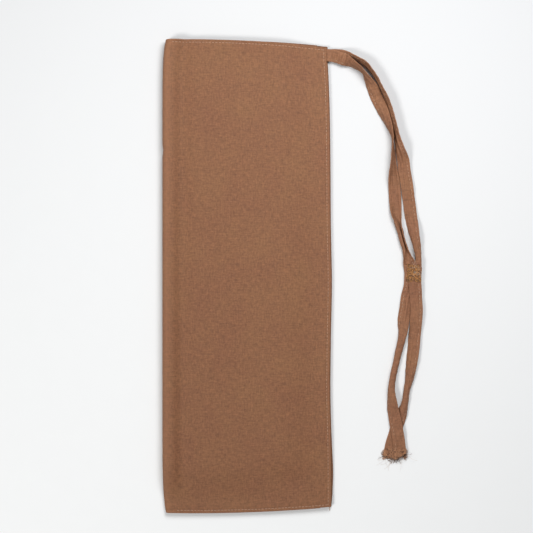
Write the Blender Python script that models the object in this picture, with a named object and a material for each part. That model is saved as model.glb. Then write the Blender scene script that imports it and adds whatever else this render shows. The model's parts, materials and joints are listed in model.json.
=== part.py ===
"""Soft cloth sleeve for a take-down cue, lying flat with its two tie tapes beside it.

One cloth is folded along the left side, turned in and stitched along the right side and the
bottom, and open at the top, where each lip has a turned-in hem. Two tapes held in the side
seam just under the mouth tie the sleeve shut. Each tape is two lengths lapped and sewn together.

Metres. X runs across the sleeve, +Y towards its mouth, +Z up from the surface it lies on.
The origin is in the middle of the sleeve's underside.
"""

import math

import bmesh
import bpy
from mathutils import Vector

# Sleeve, seen from above
CASE_LENGTH = 0.410  # along the fold
CASE_WIDTH = 0.1474  # at mid length, from the fold to the back layer's edge
TOP_SLOPE = 0.0065  # how far the mouth falls from the fold to the seam
BOTTOM_SLOPE = 0.0050  # how far the bottom rises from the fold to the seam
TOP_BOW, BOTTOM_BOW = 0.0020, 0.0019  # both ends bulge between their corners
BACK_PEEK = 0.0013  # the back layer's edge, past the front layer's
FOLD_PULL_TOP, FOLD_PULL_BOTTOM = 0.0041, 0.0031  # how far the fold draws in at its ends
FOLD_PULL_TOP_REACH, FOLD_PULL_BOTTOM_REACH = 0.0087, 0.0140  # and how soon that fades
SEAM_PULL, SEAM_PULL_REACH = 0.0039, 0.0400  # the same for the seam, at the mouth
SEAM_DRIFT = 0.0009  # the seam runs in this much from the bottom up
SEAM_WAVES = ((-0.005, 0.036, 0.0010), (-0.105, 0.030, -0.0006))  # y, reach and size
LIP_PEEK = 0.0008  # the back lip shows this much more past the front one near the seam

# Heights above the surface
SEAM_TOP = 0.0042  # front layer at the side and bottom seams
CROWN = 0.0080  # front layer over the open pocket
FOLD_RIDGE = 0.0010  # the soft ridge beside the fold, above the crown
MOUTH_LIFT = 0.0012  # the front lip gapes this much above the crown
EDGE_RISE = 0.0007  # the back layer's edges, off the surface
EDGE_RISE_START, EDGE_RISE_WIDTH = 0.0140, 0.0100  # from the edge inwards
BOTTOM_FLANK, SEAM_FLANK = 0.0340, 0.0380  # widths of the slopes up to the crown
RIDGE_FROM_FOLD, RIDGE_REACH = 0.0060, 0.0060
MOUTH_LIFT_REACH = 0.0180
FOLD_RADIUS = 0.0044
FOLD_STEPS = (0, 10, 30, 58, 90)  # degrees round half of the fold, closest at its outermost line
PANEL_ROWS, PANEL_COLUMNS = 28, 15

# Cloth, thread and tape
CLOTH = 0.0007
TURN_IN = 0.0005  # cloth pressed flat inside a hem or seam
TURN_IN_WIDTH = 0.0080
GAP = 0.0003  # between layers that touch
EDGE_INSET = 0.0006  # turned-in cloth stays this far inside the edge
CORNER_CLEAR = 0.0092  # hems end before the side seam's turned-in cloth
STITCH_INSET = 0.0025
THREAD_WIDTH = 0.0005
THREAD_HEIGHT = 0.0003
THREAD_FROM_FOLD = 0.0040  # where stitching starts, past the rolled fold
HEM_FROM_FOLD = 0.0030
THREAD_FROM_END = 0.0008  # side seam stitching stops this far from the mouth and the bottom
THREAD_FROM_SEAM = 0.0034  # the other lines stop this far from the side seam
TAIL_FROM_SEAM = 0.0013
TAIL = ((0, 0.0004, 0.0026), (0.0004, 0.0018, 0.0018), (0, 0.0034, 0.0008))  # aside, down, height
TAPE_WIDTH = 0.0108
TAPE_STITCH_INSET = 0.0013
TAPE = 0.0008
LEAST_LIFT = 0.0002

# The tapes' root in the side seam, and the line they lift about
ROOT_Y = 0.1919
ROOT_LENGTH = 0.0078
ROOT_PROUD = 0.0002  # past the front layer's edge
HINGE = Vector((0.0715, ROOT_Y, 0.0040))

# Each tape's route, from its root or lap to its free end: x, y, roll in degrees and the height
# of its lower edge. A positive roll lifts the edge on the left of the way it runs.
FRONT_UPPER = (
    (0.0748, 0.1912, 4, 0.0028),
    (0.0802, 0.1894, 10, 0.0028),
    (0.0845, 0.1874, 20, 0.0031),
    (0.0889, 0.1851, 48, 0.0016),
    (0.0932, 0.1825, 62, 0.0006),
    (0.0975, 0.1796, 70, 0.0003),
    (0.1006, 0.1766, 74, 0.0003),
    (0.1034, 0.1715, 62, 0.0003),
    (0.1084, 0.1622, 30, 0.0003),
    (0.1126, 0.1530, 12, 0.0003),
    (0.1164, 0.1444, 36, 0.0003),
    (0.1200, 0.1357, 56, 0.0003),
    (0.1236, 0.1270, 74, 0.0003),
    (0.1256, 0.1201, 90, 0.0003),
    (0.1261, 0.1131, 102, 0.0003),
    (0.1262, 0.1045, 114, 0.0003),
    (0.1264, 0.0941, 133, 0.0003),
    (0.1271, 0.0837, 162, 0.0003),
    (0.1280, 0.0733, 176, 0.0003),
    (0.1284, 0.0629, 172, 0.0003),
    (0.1288, 0.0542, 150, 0.0003),
    (0.1301, 0.0464, 122, 0.0003),
    (0.1320, 0.0394, 106, 0.0003),
    (0.1341, 0.0316, 102, 0.0003),
    (0.1366, 0.0238, 124, 0.0003),
    (0.1386, 0.0169, 160, 0.0003),
    (0.1404, 0.0108, 179, 0.0003),
    (0.1416, 0.0030, 180, 0.0003),
    (0.1421, -0.0058, 180, 0.0003),
)
BACK_UPPER = (
    (0.0748, 0.1921, 3, 0.0012),
    (0.0802, 0.1917, 14, 0.0005),
    (0.0850, 0.1908, 34, 0.0003),
    (0.0893, 0.1896, 52, 0.0003),
    (0.0936, 0.1878, 61, 0.0003),
    (0.0978, 0.1860, 66, 0.0003),
    (0.1019, 0.1834, 70, 0.0003),
    (0.1052, 0.1797, 74, 0.0003),
    (0.1089, 0.1749, 78, 0.0003),
    (0.1119, 0.1701, 80, 0.0003),
    (0.1148, 0.1643, 79, 0.0003),
    (0.1178, 0.1584, 76, 0.0003),
    (0.1202, 0.1525, 71, 0.0003),
    (0.1227, 0.1441, 65, 0.0003),
    (0.1250, 0.1355, 62, 0.0003),
    (0.1275, 0.1268, 66, 0.0003),
    (0.1297, 0.1182, 62, 0.0006),
    (0.1320, 0.1096, 44, 0.0028),
    (0.1349, 0.1010, 16, 0.0018),
    (0.1362, 0.0923, 5, 0.0014),
    (0.1377, 0.0837, 3, 0.0013),
    (0.1390, 0.0750, 3, 0.0012),
    (0.1401, 0.0663, 2, 0.0008),
    (0.1412, 0.0577, 4, 0.0004),
    (0.1424, 0.0490, 12, 0.0003),
    (0.1433, 0.0403, 27, 0.0003),
    (0.1446, 0.0316, 44, 0.0003),
    (0.1464, 0.0230, 56, 0.0004),
    (0.1474, 0.0165, 40, 0.0014),
    (0.1471, 0.0125, 13, 0.0026),
    (0.1461, 0.0080, 4, 0.0028),
    (0.1454, 0.0015, 3, 0.0028),
    (0.1452, -0.0060, 2, 0.0028),
)
FRONT_LOWER = (
    (0.1414, 0.0095, -1, 0.0016),
    (0.1416, 0.0020, 0, 0.0015),
    (0.1409, -0.0080, 0, 0.0014),
    (0.1386, -0.0180, -2, 0.0006),
    (0.1371, -0.0285, -6, 0.0003),
    (0.1353, -0.0385, 9, 0.0003),
    (0.1333, -0.0490, 42, 0.0003),
    (0.1309, -0.0600, 57, 0.0003),
    (0.1283, -0.0710, 64, 0.0003),
    (0.1259, -0.0815, 66, 0.0003),
    (0.1237, -0.0920, 64, 0.0003),
    (0.1231, -0.1020, 54, 0.0003),
    (0.1250, -0.1115, 32, 0.0006),
    (0.1272, -0.1215, 17, 0.0012),
    (0.1294, -0.1318, 7, 0.0020),
    (0.1311, -0.1420, 4, 0.0020),
    (0.1327, -0.1545, 3, 0.0013),
)
BACK_LOWER = (
    (0.1453, 0.0092, 4, 0.0042),
    (0.1452, 0.0020, 2, 0.0041),
    (0.1454, -0.0080, 2, 0.0038),
    (0.1461, -0.0180, 4, 0.0024),
    (0.1466, -0.0285, 8, 0.0022),
    (0.1461, -0.0385, 10, 0.0024),
    (0.1451, -0.0490, 12, 0.0003),
    (0.1442, -0.0600, 14, 0.0003),
    (0.1426, -0.0710, 20, 0.0003),
    (0.1408, -0.0815, 34, 0.0003),
    (0.1389, -0.0920, 52, 0.0003),
    (0.1371, -0.1020, 62, 0.0003),
    (0.1359, -0.1110, 54, 0.0003),
    (0.1333, -0.1196, 28, 0.0003),
    (0.1305, -0.1279, 8, 0.0003),
    (0.1279, -0.1366, 0, 0.0003),
    (0.1253, -0.1452, 0, 0.0003),
    (0.1230, -0.1570, 0, 0.0003),
)
STEPS_BETWEEN = 3  # sections of tape for each stretch between two route points
LAP_STITCH_PITCH = 0.0026
LAP_STITCH_ROWS = 5
LAP_STITCH_REACH = 0.0030

BROWN = (0.240, 0.133, 0.084)
THREAD_TAN = (0.350, 0.215, 0.145)


def clear_scene():
    for obj in list(bpy.data.objects):
        bpy.data.objects.remove(obj)


def make_material(name, colour, roughness):
    material = bpy.data.materials.new(name)
    material.use_nodes = True
    shader = material.node_tree.nodes["Principled BSDF"]
    shader.inputs["Base Color"].default_value = (*colour, 1)
    shader.inputs["Roughness"].default_value = roughness
    shader.inputs["Metallic"].default_value = 0
    return material


def ease(value):
    """0 to 1 with soft ends."""
    value = min(max(value, 0.0), 1.0)
    return value * value * (3 - 2 * value)


def fold_edge(along):
    """X of the fold, `along` 0 at the bottom to 1 at the mouth: both ends pull in a little."""
    from_top, from_bottom = (1 - along) * CASE_LENGTH, along * CASE_LENGTH
    pull = FOLD_PULL_TOP * math.exp(-from_top / FOLD_PULL_TOP_REACH)
    pull += FOLD_PULL_BOTTOM * math.exp(-from_bottom / FOLD_PULL_BOTTOM_REACH)
    return pull - CASE_WIDTH / 2


def seam_edge(along, peek):
    """X of a layer's edge at the side seam, which draws in towards the mouth."""
    from_top = (1 - along) * CASE_LENGTH
    pull = SEAM_PULL * math.exp(-from_top / SEAM_PULL_REACH)
    pull += SEAM_DRIFT * ease((along - 0.06) / 0.30)
    for y, reach, size in SEAM_WAVES:
        pull -= size * math.exp(-(((CASE_LENGTH / 2 - from_top - y) / reach) ** 2))
    return CASE_WIDTH / 2 - BACK_PEEK - pull + peek


def place(across, along, peek=0.0):
    """X and Y at fractions of the way from fold to seam and from bottom to mouth."""
    left, right = fold_edge(along), seam_edge(along, peek)
    bulge = 4 * across * (1 - across)
    bottom = -CASE_LENGTH / 2 + BOTTOM_SLOPE * across - BOTTOM_BOW * bulge
    top = CASE_LENGTH / 2 - TOP_SLOPE * across + TOP_BOW * bulge
    if peek:
        top += (BACK_PEEK + LIP_PEEK) * ease((across - 0.40) / 0.42)
    return left + (right - left) * across, bottom + (top - bottom) * along


def distances(across, along):
    """How far a point is from the fold, the side seam, the bottom seam and the mouth."""
    width = seam_edge(along, 0) - fold_edge(along)
    length = CASE_LENGTH - (TOP_SLOPE + BOTTOM_SLOPE) * across
    return across * width, (1 - across) * width, along * length, (1 - along) * length


def front_top(across, along):
    """Height of the front layer's outer side, past the rolled fold."""
    from_fold, from_seam, from_bottom, from_mouth = distances(across, along)
    over_bottom = ease((from_bottom - CORNER_CLEAR) / BOTTOM_FLANK)
    over_seam = ease((from_seam - CORNER_CLEAR) / SEAM_FLANK)
    ridge = FOLD_RIDGE * math.exp(-(((from_fold - RIDGE_FROM_FOLD) / RIDGE_REACH) ** 2))
    lift = MOUTH_LIFT * math.exp(-from_mouth / MOUTH_LIFT_REACH)
    return SEAM_TOP + (CROWN - SEAM_TOP + ridge + lift) * over_bottom * over_seam


def back_under(across, along):
    """Height of the back layer's outer side: flat on the surface, with its edges raised."""
    nearest = min(distances(across, along)[1:])
    return EDGE_RISE * ease((EDGE_RISE_START - nearest) / EDGE_RISE_WIDTH)


def columns():
    """Fractions across the sleeve from the end of the rolled fold to the seam."""
    start = FOLD_RADIUS / CASE_WIDTH
    return [start + (1 - start) * (i / PANEL_COLUMNS) for i in range(1, PANEL_COLUMNS + 1)]


def fold_profile(height, side):
    """Across and up along one half of the rolled fold, from its outermost line."""
    middle = height / 2 + side * GAP / 2
    reach = (height - GAP) / 2
    for degrees in FOLD_STEPS:
        angle = math.radians(degrees)
        yield FOLD_RADIUS * (1 - math.cos(angle)), middle + side * reach * math.sin(angle)


def panel_grid(side):
    """Rows of points over the outer side of one layer, the fold's half roll included."""
    peek = BACK_PEEK if side < 0 else 0
    grid = []
    for j in range(PANEL_ROWS + 1):
        along = j / PANEL_ROWS
        start = FOLD_RADIUS / CASE_WIDTH
        under = back_under(start, along)
        height = front_top(start, along)
        row = []
        for reach, up in fold_profile(height - under, side):
            x, y = place(reach / CASE_WIDTH, along, peek)
            row.append((x, y, under + up))
        for across in columns():
            x, y = place(across, along, peek)
            z = front_top(across, along) if side > 0 else back_under(across, along)
            row.append((x, y, z))
        grid.append(row)
    return grid


def add_object(name, mesh, material):
    mesh.materials.append(material)
    obj = bpy.data.objects.new(name, mesh)
    bpy.context.collection.objects.link(obj)
    return obj


def sheet_from_grid(name, grid, side, thickness, material):
    """A layer from rows of points on its outer side, thickened inwards. `side` is +1 for one
    that faces up and -1 for one that faces down."""
    bm = bmesh.new()
    points = [[bm.verts.new(point) for point in row] for row in grid]
    for low, high in zip(points, points[1:]):
        for i in range(len(low) - 1):
            corners = (low[i], low[i + 1], high[i + 1], high[i])
            bm.faces.new(corners if side > 0 else corners[::-1])
    mesh = bpy.data.meshes.new(name)
    bm.to_mesh(mesh)
    bm.free()
    mesh.shade_smooth()
    obj = add_object(name, mesh, material)
    solidify = obj.modifiers.new("Thickness", "SOLIDIFY")
    solidify.thickness = thickness
    solidify.offset = -1
    solidify.use_even_offset = True
    return obj


def band(name, side, span, run, offset, thickness, material, cells):
    """A strip that follows one layer. `span` and `run` give its two ends across and along, as
    functions of the other fraction, and `offset` is how far it lies inside the outer side."""
    across_cells, along_cells = cells
    outer = front_top if side > 0 else back_under
    peek = BACK_PEEK if side < 0 else 0
    grid = []
    for j in range(along_cells + 1):
        row = []
        for i in range(across_cells + 1):
            t, s = i / across_cells, j / along_cells
            across = span[0](s) + (span[1](s) - span[0](s)) * t
            along = run[0](across) + (run[1](across) - run[0](across)) * s
            x, y = place(across, along, peek)
            row.append((x, y, outer(across, along) - side * offset))
        grid.append(row)
    return sheet_from_grid(name, grid, side, thickness, material)


def from_seam(distance):
    """Fraction across that lies `distance` inside the side seam."""
    return lambda _: 1 - distance / (CASE_WIDTH - BACK_PEEK)


def from_fold(distance):
    return lambda _: distance / (CASE_WIDTH - BACK_PEEK)


def from_bottom(distance):
    """Fraction along that lies `distance` above the bottom edge."""
    return lambda across: distance / (CASE_LENGTH - (TOP_SLOPE + BOTTOM_SLOPE) * across)


def from_mouth(distance):
    return lambda across: 1 - from_bottom(distance)(across)


def turned_in_bands(side, prefix, cloth):
    """The cloth turned in at the side seam, the bottom seam and the mouth of one layer."""
    offset = CLOTH + GAP
    inner = EDGE_INSET + TURN_IN_WIDTH
    after_fold = from_fold(FOLD_RADIUS + HEM_FROM_FOLD)
    root_end = from_mouth(
        CASE_LENGTH / 2 - TOP_SLOPE - ROOT_Y + TAPE_WIDTH / 2 + 2 * (BACK_PEEK + LIP_PEEK)
    )
    band(
        f"{prefix}_side_allowance", side, (from_seam(inner), from_seam(EDGE_INSET)),
        (from_bottom(EDGE_INSET), root_end), offset, TURN_IN, cloth, (1, 26),
    )
    band(
        f"{prefix}_bottom_allowance", side, (after_fold, from_seam(CORNER_CLEAR)),
        (from_bottom(EDGE_INSET), from_bottom(inner)), offset, TURN_IN, cloth, (16, 1),
    )
    band(
        f"{prefix}_mouth_hem", side, (after_fold, from_seam(CORNER_CLEAR)),
        (from_mouth(inner), from_mouth(EDGE_INSET)), offset, TURN_IN, cloth, (16, 2),
    )


def thread_bands(side, suffix, thread):
    """The lines of stitching that show on one side of the sleeve."""
    lift = -(GAP + THREAD_HEIGHT)
    near, far = STITCH_INSET - THREAD_WIDTH / 2, STITCH_INSET + THREAD_WIDTH / 2
    starts = from_fold(FOLD_RADIUS + THREAD_FROM_FOLD)
    band(
        f"side_seam_thread_{suffix}", side, (from_seam(far), from_seam(near)),
        (from_bottom(THREAD_FROM_END), from_mouth(THREAD_FROM_END)), lift, THREAD_HEIGHT, thread, (1, 28),
    )
    band(
        f"bottom_seam_thread_{suffix}", side, (starts, from_seam(THREAD_FROM_SEAM)),
        (from_bottom(near), from_bottom(far)), lift, THREAD_HEIGHT, thread, (18, 1),
    )
    band(
        f"mouth_hem_thread_{suffix}", side, (starts, from_seam(THREAD_FROM_SEAM)),
        (from_mouth(far), from_mouth(near)), lift, THREAD_HEIGHT, thread, (18, 1),
    )


def catmull_rom(rows, steps):
    """A smooth row of values through the given ones, `steps` for each stretch."""
    padded = [
        [2 * a - b for a, b in zip(rows[0], rows[1])],
        *rows,
        [2 * a - b for a, b in zip(rows[-1], rows[-2])],
    ]
    made = []
    for k in range(1, len(padded) - 2):
        window = padded[k - 1 : k + 3]
        for i in range(steps):
            t = i / steps
            made.append([smooth_between(values, t) for values in zip(*window)])
    made.append(list(rows[-1]))
    return made


def smooth_between(values, t):
    a, b, c, d = values
    return 0.5 * (
        2 * b + (c - a) * t + (2 * a - 5 * b + 4 * c - d) * t**2 + (3 * b - a - 3 * c + d) * t**3
    )


def tape_frames(route):
    """Centre, width direction and upward normal at each section of a tape."""
    rows = catmull_rom(route, STEPS_BETWEEN)
    flat = [Vector((x, y, 0)) for x, y, _, _ in rows]
    frames = []
    for k, (x, y, roll, lift) in enumerate(rows):
        ahead = (flat[min(k + 1, len(flat) - 1)] - flat[max(k - 1, 0)]).normalized()
        left = Vector((-ahead.y, ahead.x, 0))
        angle = math.radians(roll)
        across = left * math.cos(angle) + Vector((0, 0, math.sin(angle)))
        normal = -left * math.sin(angle) + Vector((0, 0, math.cos(angle)))
        height = max(lift, LEAST_LIFT) + TAPE_WIDTH / 2 * abs(math.sin(angle))
        height += TAPE / 2 * abs(math.cos(angle))
        frames.append((Vector((x, y, height)), across, normal))
    return frames


def swept_bar(name, sections, material, origin=None):
    """A bar with flat ends through sections of four corners each."""
    bm = bmesh.new()
    rings = [[bm.verts.new(corner) for corner in section] for section in sections]
    for one, two in zip(rings, rings[1:]):
        for i in range(4):
            j = (i + 1) % 4
            bm.faces.new((one[i], one[j], two[j], two[i]))
    bm.faces.new(rings[0][::-1])
    bm.faces.new(rings[-1])
    bmesh.ops.recalc_face_normals(bm, faces=bm.faces)
    if origin:
        bmesh.ops.translate(bm, verts=bm.verts, vec=-origin)
    mesh = bpy.data.meshes.new(name)
    bm.to_mesh(mesh)
    bm.free()
    obj = add_object(name, mesh, material)
    if origin:
        obj.location = origin
    return obj


def bar_section(centre, across, normal, width, height):
    half, up = across * width / 2, normal * height / 2
    return (centre - half - up, centre + half - up, centre + half + up, centre - half + up)


def make_tape(name, route, material):
    sections = [
        bar_section(centre, across, normal, TAPE_WIDTH, TAPE)
        for centre, across, normal in tape_frames(route)
    ]
    return swept_bar(name, sections, material, HINGE)


def make_edge_thread(name, route, side, reach, material):
    """The stitching along one edge of a tape, where it lies open between two values of Y."""
    inset = side * (TAPE_WIDTH / 2 - TAPE_STITCH_INSET)
    sections = []
    for centre, across, normal in tape_frames(route):
        if reach[0] < centre.y < reach[1]:
            raised = math.copysign(TAPE / 2 + GAP + THREAD_HEIGHT / 2, normal.z)
            at = centre + across * inset + normal * raised
            sections.append(bar_section(at, across, normal, THREAD_WIDTH, THREAD_HEIGHT))
    return swept_bar(name, sections, material, HINGE)


def make_lap_stitching(name, route, material):
    """Stitching to and fro across a lap, through both lengths of tape."""
    frames = tape_frames(route)
    start, across, normal = frames[1]
    along = (frames[3][0] - start).normalized()
    raised = start + normal * (TAPE / 2 + 2 * GAP + THREAD_HEIGHT / 2)
    corners = []
    for row in range(LAP_STITCH_ROWS):
        for way in (-1, 1) if row % 2 else (1, -1):
            corners.append(
                raised + along * (LAP_STITCH_PITCH * row) + across * LAP_STITCH_REACH * way
            )
    sections = []
    for k, corner in enumerate(corners):
        before = (corner - corners[max(k - 1, 0)]).normalized()
        after = (corners[min(k + 1, len(corners) - 1)] - corner).normalized()
        ahead = (before + after).normalized()
        mitre = math.sqrt(2) if 0 < k < len(corners) - 1 else 1
        sections.append(
            bar_section(corner, normal.cross(ahead), normal, THREAD_WIDTH * mitre, THREAD_HEIGHT)
        )
    return swept_bar(name, sections, material, HINGE)


def make_root(name, height, material):
    """The end of a tape that the side seam holds."""
    along = (ROOT_Y + CASE_LENGTH / 2) / CASE_LENGTH
    edge = seam_edge(along, 0) + ROOT_PROUD
    sections = [
        bar_section(
            Vector((x, ROOT_Y, height)), Vector((0, 1, 0)), Vector((0, 0, 1)),
            TAPE_WIDTH, TURN_IN,
        )
        for x in (edge - ROOT_LENGTH, edge - ROOT_LENGTH / 2, edge)
    ]
    return swept_bar(name, sections, material)


def make_thread_tail(material):
    """The cut end of the side seam's thread, past the bottom corner."""
    x = seam_edge(0, 0) - TAIL_FROM_SEAM
    y = -CASE_LENGTH / 2 + BOTTOM_SLOPE
    points = [(x + aside, y - down, height) for aside, down, height in TAIL]
    curve = bpy.data.curves.new("thread_tail", "CURVE")
    curve.dimensions = "3D"
    curve.bevel_depth = THREAD_WIDTH / 2
    curve.bevel_resolution = 1
    curve.use_fill_caps = True
    spline = curve.splines.new("POLY")
    spline.points.add(len(points) - 1)
    for point, place_at in zip(spline.points, points):
        point.co = (*place_at, 1)
    curve.materials.append(material)
    obj = bpy.data.objects.new("thread_tail", curve)
    bpy.context.collection.objects.link(obj)
    return obj


def main():
    clear_scene()
    cloth = make_material("brown_cloth", BROWN, 0.9)
    tape = make_material("brown_tape", BROWN, 0.9)
    thread = make_material("tan_thread", THREAD_TAN, 0.7)
    for side, prefix in ((1, "front"), (-1, "back")):
        sheet_from_grid(f"{prefix}_panel", panel_grid(side), side, CLOTH, cloth)
        turned_in_bands(side, prefix, cloth)
        thread_bands(side, prefix, thread)
    under_front = SEAM_TOP - CLOTH - GAP - TURN_IN / 2
    over_back = EDGE_RISE + CLOTH + GAP + TURN_IN / 2
    make_root("tie_root_front", under_front, tape)
    make_root("tie_root_back", over_back, tape)
    tapes = (
        ("tie_front_upper", FRONT_UPPER, 1, (0.060, 0.112)),
        ("tie_front_lower", FRONT_LOWER, -1, (-0.150, -0.112)),
        ("tie_back_upper", BACK_UPPER, 1, (0.050, 0.108)),
        ("tie_back_lower", BACK_LOWER, 1, (-0.078, -0.022)),
    )
    for name, route, side, reach in tapes:
        make_tape(name, route, tape)
        make_edge_thread(f"{name}_thread", route, side, reach, thread)
    make_lap_stitching("lap_stitching", BACK_LOWER, thread)
    make_thread_tail(thread)


main()
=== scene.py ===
"""Looks of a soft cloth sleeve for a take-down cue, lying flat with its two tie tapes beside it.

One brown cloth is folded along the left side, turned in all round its edges and topstitched
along the right side, the bottom and both lips of the mouth. Two tapes come out of the side seam
under the mouth; each is two lengths lapped, sewn together and left raw at the end.
"""

import bisect
import json
import math
import random

import bpy
from mathutils import Matrix, Vector
from mathutils.bvhtree import BVHTree

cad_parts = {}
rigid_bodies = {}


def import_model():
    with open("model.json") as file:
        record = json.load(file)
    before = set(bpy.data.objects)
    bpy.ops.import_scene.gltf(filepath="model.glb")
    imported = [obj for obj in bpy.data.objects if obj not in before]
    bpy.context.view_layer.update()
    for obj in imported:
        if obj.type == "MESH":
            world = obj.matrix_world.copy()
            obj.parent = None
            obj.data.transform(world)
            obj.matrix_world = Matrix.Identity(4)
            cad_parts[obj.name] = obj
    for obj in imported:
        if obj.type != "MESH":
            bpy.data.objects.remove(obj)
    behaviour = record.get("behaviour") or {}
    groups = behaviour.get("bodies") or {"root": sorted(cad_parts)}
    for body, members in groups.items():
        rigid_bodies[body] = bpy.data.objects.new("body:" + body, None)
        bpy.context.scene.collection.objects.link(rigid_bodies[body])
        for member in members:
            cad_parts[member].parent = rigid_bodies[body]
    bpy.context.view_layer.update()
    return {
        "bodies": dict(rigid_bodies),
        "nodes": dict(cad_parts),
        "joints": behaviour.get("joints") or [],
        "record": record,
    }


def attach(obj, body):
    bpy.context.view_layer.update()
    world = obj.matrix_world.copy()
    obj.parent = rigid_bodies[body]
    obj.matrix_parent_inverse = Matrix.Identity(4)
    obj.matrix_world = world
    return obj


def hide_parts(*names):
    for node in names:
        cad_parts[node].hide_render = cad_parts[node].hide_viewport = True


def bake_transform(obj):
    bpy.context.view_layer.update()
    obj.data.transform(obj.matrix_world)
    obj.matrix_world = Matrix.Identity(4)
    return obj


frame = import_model()

# Sleeve, seen from above
CASE_LENGTH = 0.410
CASE_WIDTH = 0.1474
TOP_SLOPE = 0.0065
BOTTOM_SLOPE = 0.0050
TOP_BOW, BOTTOM_BOW = 0.0020, 0.0019  # both ends bulge between their corners
BACK_PEEK = 0.0013
FOLD_PULL_TOP, FOLD_PULL_TOP_REACH = 0.0031, 0.0120
FOLD_PULL_BOTTOM, FOLD_PULL_BOTTOM_REACH = 0.0031, 0.0140
SEAM_PULL, SEAM_PULL_REACH = 0.0039, 0.0400
SEAM_WAVES = (  # y, reach and size
    (-0.005, 0.036, 0.0010),
    (-0.105, 0.030, -0.0006),
    (0.204, 0.006, 0.0009),
)
PINCH, PINCH_Y, PINCH_REACH = 0.0007, 0.1090, 0.0034  # a small nick in the fold

# Heights above the surface
SEAM_TOP = 0.0042
CROWN = 0.0080
MOUTH_LIFT, MOUTH_LIFT_REACH = 0.0012, 0.0180
EDGE_RISE = 0.0007
FLOOR_GAP = 0.0003  # a tape's lowest line is never nearer the surface
FOLD_RADIUS = 0.0044
CORNER_CLEAR = 0.0092

# Cloth, thread and tape
CLOTH = 0.00045
TURN_RADIUS = 0.0005  # outer radius of a turned edge
TURN_IN_WIDTH = 0.0083
STITCH_INSET = 0.0025
STITCH_PITCH = 0.0030
TAPE_WIDTH = 0.0108
TAPE = 0.0008

# Each tape's route: x, y, roll in degrees, height of its lowest line, and cup, the turn in
# degrees from its middle to its edge, positive where both edges lift.
FRONT_UPPER = (
    (0.0612, 0.1919, 0, 0.0024, 0),
    (0.0650, 0.1919, 0, 0.0024, 0),
    (0.0695, 0.1919, 0, 0.0026, 0),
    (0.0725, 0.1917, 2, 0.0028, 2),
    (0.0759, 0.1909, 6, 0.0028, -8),
    (0.0802, 0.1894, 10, 0.0028, -12),
    (0.0845, 0.1874, 20, 0.0031, -14),
    (0.0889, 0.1851, 50, 0.0016, -10),
    (0.0932, 0.1825, 66, 0.0006, -12),
    (0.0975, 0.1796, 74, 0.0003, -10),
    (0.1006, 0.1766, 80, 0.0003, -6),
    (0.1034, 0.1715, 64, 0.0003, -12),
    (0.1088, 0.1622, 24, 0.0003, -18),
    (0.1133, 0.1530, 7, 0.0003, -16),
    (0.1169, 0.1444, 28, 0.0003, -18),
    (0.1202, 0.1357, 52, 0.0003, -18),
    (0.1236, 0.1270, 74, 0.0003, -14),
    (0.1256, 0.1201, 90, 0.0003, -8),
    (0.1261, 0.1131, 102, 0.0003, -6),
    (0.1262, 0.1045, 114, 0.0003, -8),
    (0.1264, 0.0941, 133, 0.0003, -10),
    (0.1271, 0.0837, 162, 0.0003, -4),
    (0.1280, 0.0733, 176, 0.0003, 4),
    (0.1284, 0.0629, 172, 0.0003, -8),
    (0.1288, 0.0542, 170, 0.0003, -55),
    (0.1301, 0.0464, 166, 0.0003, -120),
    (0.1320, 0.0394, 164, 0.0003, -155),
    (0.1341, 0.0316, 164, 0.0003, -158),
    (0.1366, 0.0238, 168, 0.0003, -150),
    (0.1386, 0.0169, 174, 0.0003, -90),
    (0.1404, 0.0108, 179, 0.0003, -20),
    (0.1416, 0.0030, 180, 0.0003, 0),
    (0.1421, -0.0058, 180, 0.0003, 0),
)
BACK_UPPER = (
    (0.0612, 0.1919, 0, 0.0015, 0),
    (0.0650, 0.1919, 0, 0.0015, 0),
    (0.0695, 0.1920, 0, 0.0015, 0),
    (0.0725, 0.1920, 1, 0.0014, 0),
    (0.0759, 0.1921, 4, 0.0010, -2),
    (0.0802, 0.1917, 14, 0.0005, -6),
    (0.0850, 0.1908, 36, 0.0003, -8),
    (0.0893, 0.1896, 56, 0.0003, -8),
    (0.0936, 0.1878, 63, 0.0003, -10),
    (0.0978, 0.1860, 68, 0.0003, -10),
    (0.1019, 0.1834, 71, 0.0003, -10),
    (0.1055, 0.1799, 77, 0.0003, -10),
    (0.1093, 0.1751, 81, 0.0003, -10),
    (0.1123, 0.1703, 83, 0.0003, -10),
    (0.1152, 0.1645, 82, 0.0003, -10),
    (0.1183, 0.1584, 80, 0.0003, -8),
    (0.1211, 0.1525, 78, 0.0003, -8),
    (0.1234, 0.1441, 72, 0.0003, -10),
    (0.1254, 0.1355, 67, 0.0003, -12),
    (0.1275, 0.1268, 66, 0.0003, -12),
    (0.1297, 0.1182, 61, 0.0006, -12),
    (0.1319, 0.1096, 44, 0.0026, -14),
    (0.1348, 0.1010, 16, 0.0018, -12),
    (0.1362, 0.0923, 5, 0.0014, -8),
    (0.1377, 0.0837, 3, 0.0013, -8),
    (0.1390, 0.0750, 3, 0.0012, -10),
    (0.1401, 0.0663, 2, 0.0008, -10),
    (0.1412, 0.0577, 4, 0.0004, -12),
    (0.1424, 0.0490, 12, 0.0003, -18),
    (0.1433, 0.0403, 25, 0.0003, -36),
    (0.1446, 0.0316, 34, 0.0003, -70),
    (0.1464, 0.0230, 35, 0.0003, -120),
    (0.1474, 0.0165, 30, 0.0008, -150),
    (0.1471, 0.0125, 16, 0.0020, -120),
    (0.1461, 0.0080, 4, 0.0028, -30),
    (0.1454, 0.0015, 3, 0.0028, 0),
    (0.1452, -0.0060, 2, 0.0028, 0),
)
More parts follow.
